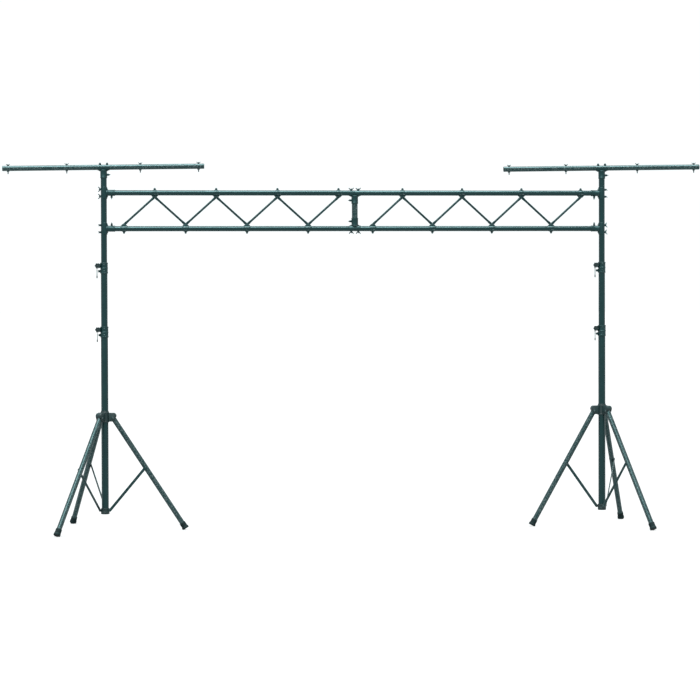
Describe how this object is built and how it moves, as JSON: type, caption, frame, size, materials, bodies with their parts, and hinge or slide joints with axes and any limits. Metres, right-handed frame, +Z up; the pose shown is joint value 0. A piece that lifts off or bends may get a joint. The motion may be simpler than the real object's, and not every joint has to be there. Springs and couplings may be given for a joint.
{
  "type": "lighting truss on tripod stands",
  "caption": "Flat laced lighting truss between two telescoping tripod stands, each topped by a T-bar with fixture bolts; clamps with knobs and safety pins.",
  "frame": {"origin": "on the floor, under the middle of the object's box: midway between the masts", "axes": "+X along the truss to the picture's right-hand stand, +Y away from the side with the knobs, +Z up"},
  "size_m": [4.2743, 0.884, 2.2385],
  "materials": {
    "teal_paint": "satin powder coat",
    "cast_fitting": "painted pressed-steel and cast fittings",
    "moulded_plastic": "moulded, slightly rough",
    "zinc_plate": "bright zinc plate",
    "rubber": "matt"
  },
  "bodies": {
    "left_base": {"left_base_tube": "teal_paint", "left_foot_collar": "moulded_plastic", "left_lower_clamp": "cast_fitting"},
    "left_middle": {"left_mid_tube": "teal_paint", "left_upper_clamp": "cast_fitting"},
    "right_base": {"right_base_tube": "teal_paint", "right_foot_collar": "moulded_plastic", "right_lower_clamp": "cast_fitting"},
    "right_middle": {"right_mid_tube": "teal_paint", "right_upper_clamp": "cast_fitting"},
    "truss": {"left_top_tube": "teal_paint", "right_top_tube": "teal_paint", "left_top_tee": "cast_fitting", "left_top_chord": "teal_paint", "left_bottom_tee": "cast_fitting", "left_bottom_chord": "teal_paint", "right_top_tee": "cast_fitting", "right_top_chord": "teal_paint", "right_bottom_tee": "cast_fitting", "right_bottom_chord": "teal_paint", "left_lacing": "teal_paint", "right_lacing": "teal_paint", "middle_top_tee": "cast_fitting", "middle_bottom_tee": "cast_fitting", "middle_post": "teal_paint"},
    "left_hub": {"left_leg_hub": "moulded_plastic"},
    "left_inner_leg": {"left_leg_inner": "teal_paint", "left_foot_inner": "rubber"},
    "left_inner_brace": {"left_brace_inner": "teal_paint"},
    "left_rear_leg": {"left_leg_rear": "teal_paint", "left_foot_rear": "rubber"},
    "left_rear_brace": {"left_brace_rear": "teal_paint"},
    "left_front_leg": {"left_leg_front": "teal_paint", "left_foot_front": "rubber"},
    "left_front_brace": {"left_brace_front": "teal_paint"},
    "left_lower_knob": {"left_lower_knob": "moulded_plastic"},
    "left_lower_pin": {"left_lower_pin": "zinc_plate"},
    "left_upper_knob": {"left_upper_knob": "moulded_plastic"},
    "left_upper_pin": {"left_upper_pin": "zinc_plate"},
    "left_t_bar": {"left_t_bar": "teal_paint", "left_t_bar_tee": "cast_fitting"},
    "left_t_bar_screw": {"left_t_bar_screw": "zinc_plate"},
    "right_hub": {"right_leg_hub": "moulded_plastic"},
    "right_inner_leg": {"right_leg_inner": "teal_paint", "right_foot_inner": "rubber"},
    "right_inner_brace": {"right_brace_inner": "teal_paint"},
    "right_front_leg": {"right_leg_front": "teal_paint", "right_foot_front": "rubber"},
    "right_front_brace": {"right_brace_front": "teal_paint"},
    "right_rear_leg": {"right_leg_rear": "teal_paint", "right_foot_rear": "rubber"},
    "right_rear_brace": {"right_brace_rear": "teal_paint"},
    "right_lower_knob": {"right_lower_knob": "moulded_plastic"},
    "right_lower_pin": {"right_lower_pin": "zinc_plate"},
    "right_upper_knob": {"right_upper_knob": "moulded_plastic"},
    "right_upper_pin": {"right_upper_pin": "zinc_plate"},
    "right_t_bar": {"right_t_bar": "teal_paint", "right_t_bar_tee": "cast_fitting"},
    "right_t_bar_screw": {"right_t_bar_screw": "zinc_plate"}
  },
  "joints": [
    {"name": "left_middle_slide", "type": "slide", "parent": "left_base", "child": "left_middle", "axis": [0, 0, 1], "range_m": [-0.28, 0.38]},
    {"name": "left_top_slide", "type": "slide", "parent": "left_middle", "child": "truss", "axis": [0, 0, 1], "range_m": [-0.16, 0.22]},
    {"name": "right_top_slide", "type": "slide", "parent": "truss", "child": "right_middle", "axis": [0, 0, 1], "range_m": [-0.22, 0.16]},
    {"name": "right_middle_slide", "type": "slide", "parent": "right_middle", "child": "right_base", "axis": [0, 0, 1], "range_m": [-0.38, 0.28]},
    {"name": "left_fold", "type": "slide", "parent": "left_base", "child": "left_hub", "axis": [0, 0, 1], "range_m": [0, 0.134]},
    {"name": "left_inner_leg_pivot", "type": "hinge", "parent": "left_hub", "child": "left_inner_leg", "pos_m": [-1.47657, -0.0196, 0.68186], "axis": [0.068, 0.9977, 0], "range_deg": [0, 33.13]},
    {"name": "left_inner_brace_pivot", "type": "hinge", "parent": "left_base", "child": "left_inner_brace", "pos_m": [-1.49652, -0.01824, 0.12], "axis": [0.068, 0.9977, 0], "range_deg": [-36.39, 0]},
    {"name": "left_rear_leg_pivot", "type": "hinge", "parent": "left_hub", "child": "left_rear_leg", "pos_m": [-1.54845, 0.0287, 0.68186], "axis": [-0.898, -0.4399, 0], "range_deg": [0, 33.13]},
    {"name": "left_rear_brace_pivot", "type": "hinge", "parent": "left_base", "child": "left_rear_brace", "pos_m": [-1.53965, 0.01074, 0.12], "axis": [-0.898, -0.4399, 0], "range_deg": [-36.39, 0]},
    {"name": "left_front_leg_pivot", "type": "hinge", "parent": "left_hub", "child": "left_front_leg", "pos_m": [-1.55434, -0.0577, 0.68186], "axis": [0.83, -0.5577, 0], "range_deg": [0, 33.13]},
    {"name": "left_front_brace_pivot", "type": "hinge", "parent": "left_base", "child": "left_front_brace", "pos_m": [-1.54318, -0.0411, 0.12], "axis": [0.83, -0.5577, 0], "range_deg": [-36.39, 0]},
    {"name": "left_lower_knob_turn", "type": "hinge", "parent": "left_base", "child": "left_lower_knob", "pos_m": [-1.56595, -0.0162, 1.218], "axis": [0, -1, 0], "range_deg": [0, 360]},
    {"name": "left_lower_pin_swing", "type": "hinge", "parent": "left_base", "child": "left_lower_pin", "pos_m": [-1.56945, -0.0217, 1.2005], "axis": [0, 1, 0], "range_deg": [-5, 75]},
    {"name": "left_upper_knob_turn", "type": "hinge", "parent": "left_middle", "child": "left_upper_knob", "pos_m": [-1.56595, -0.0162, 1.606], "axis": [0, -1, 0], "range_deg": [0, 360]},
    {"name": "left_upper_pin_swing", "type": "hinge", "parent": "left_middle", "child": "left_upper_pin", "pos_m": [-1.56945, -0.0217, 1.5885], "axis": [0, 1, 0], "range_deg": [-5, 75]},
    {"name": "left_t_bar_swivel", "type": "hinge", "parent": "truss", "child": "left_t_bar", "pos_m": [-1.52645, -0.0162, 2.203], "axis": [0, 0, 1], "range_deg": [-90, 90]},
    {"name": "left_t_bar_screw_turn", "type": "hinge", "parent": "left_t_bar", "child": "left_t_bar_screw", "pos_m": [-1.52641, -0.0162, 2.158], "axis": [0.9999, 0, 0.0131], "range_deg": [0, 360]},
    {"name": "right_fold", "type": "slide", "parent": "right_base", "child": "right_hub", "axis": [0, 0, 1], "range_m": [0, 0.108]},
    {"name": "right_inner_leg_pivot", "type": "hinge", "parent": "right_hub", "child": "right_inner_leg", "pos_m": [1.47767, -0.0196, 0.70851], "axis": [0.068, -0.9977, 0], "range_deg": [0, 29.3]},
    {"name": "right_inner_brace_pivot", "type": "hinge", "parent": "right_base", "child": "right_inner_brace", "pos_m": [1.49762, -0.01824, 0.11835], "axis": [0.068, -0.9977, 0], "range_deg": [-32, 0]},
    {"name": "right_front_leg_pivot", "type": "hinge", "parent": "right_hub", "child": "right_front_leg", "pos_m": [1.55544, -0.0577, 0.70851], "axis": [0.83, 0.5577, 0], "range_deg": [0, 29.3]},
    {"name": "right_front_brace_pivot", "type": "hinge", "parent": "right_base", "child": "right_front_brace", "pos_m": [1.54428, -0.0411, 0.11835], "axis": [0.83, 0.5577, 0], "range_deg": [-32, 0]},
    {"name": "right_rear_leg_pivot", "type": "hinge", "parent": "right_hub", "child": "right_rear_leg", "pos_m": [1.54955, 0.0287, 0.70851], "axis": [-0.898, 0.4399, 0], "range_deg": [0, 29.3]},
    {"name": "right_rear_brace_pivot", "type": "hinge", "parent": "right_base", "child": "right_rear_brace", "pos_m": [1.54075, 0.01074, 0.11835], "axis": [-0.898, 0.4399, 0], "range_deg": [-32, 0]},
    {"name": "right_lower_knob_turn", "type": "hinge", "parent": "right_base", "child": "right_lower_knob", "pos_m": [1.48805, -0.0162, 1.21635], "axis": [0, -1, 0], "range_deg": [0, 360]},
    {"name": "right_lower_pin_swing", "type": "hinge", "parent": "right_base", "child": "right_lower_pin", "pos_m": [1.48455, -0.0217, 1.19885], "axis": [0, 1, 0], "range_deg": [-5, 75]},
    {"name": "right_upper_knob_turn", "type": "hinge", "parent": "right_middle", "child": "right_upper_knob", "pos_m": [1.48805, -0.0162, 1.606], "axis": [0, -1, 0], "range_deg": [0, 360]},
    {"name": "right_upper_pin_swing", "type": "hinge", "parent": "right_middle", "child": "right_upper_pin", "pos_m": [1.48455, -0.0217, 1.5885], "axis": [0, 1, 0], "range_deg": [-5, 75]},
    {"name": "right_t_bar_swivel", "type": "hinge", "parent": "truss", "child": "right_t_bar", "pos_m": [1.52755, -0.0162, 2.203], "axis": [0, 0, 1], "range_deg": [-90, 90]},
    {"name": "right_t_bar_screw_turn", "type": "hinge", "parent": "right_t_bar", "child": "right_t_bar_screw", "pos_m": [1.52759, -0.0162, 2.158], "axis": [0.9999, 0, 0.0131], "range_deg": [0, 360]}
  ],
  "couplings": [
    {"joint": "right_top_slide", "follows": "left_top_slide", "ratio": -1},
    {"joint": "right_middle_slide", "follows": "left_middle_slide", "ratio": -1},
    {"joint": "left_inner_leg_pivot", "follows": "left_fold", "rad_per_m": 4.2927},
    {"joint": "left_inner_brace_pivot", "follows": "left_fold", "rad_per_m": -4.7149},
    {"joint": "left_rear_leg_pivot", "follows": "left_fold", "rad_per_m": 4.2927},
    {"joint": "left_rear_brace_pivot", "follows": "left_fold", "rad_per_m": -4.7149},
    {"joint": "left_front_leg_pivot", "follows": "left_fold", "rad_per_m": 4.2927},
    {"joint": "left_front_brace_pivot", "follows": "left_fold", "rad_per_m": -4.7149},
    {"joint": "right_inner_leg_pivot", "follows": "right_fold", "rad_per_m": 4.7329},
    {"joint": "right_inner_brace_pivot", "follows": "right_fold", "rad_per_m": -5.1685},
    {"joint": "right_front_leg_pivot", "follows": "right_fold", "rad_per_m": 4.7329},
    {"joint": "right_front_brace_pivot", "follows": "right_fold", "rad_per_m": -5.1685},
    {"joint": "right_rear_leg_pivot", "follows": "right_fold", "rad_per_m": 4.7329},
    {"joint": "right_rear_brace_pivot", "follows": "right_fold", "rad_per_m": -5.1685}
  ]
}
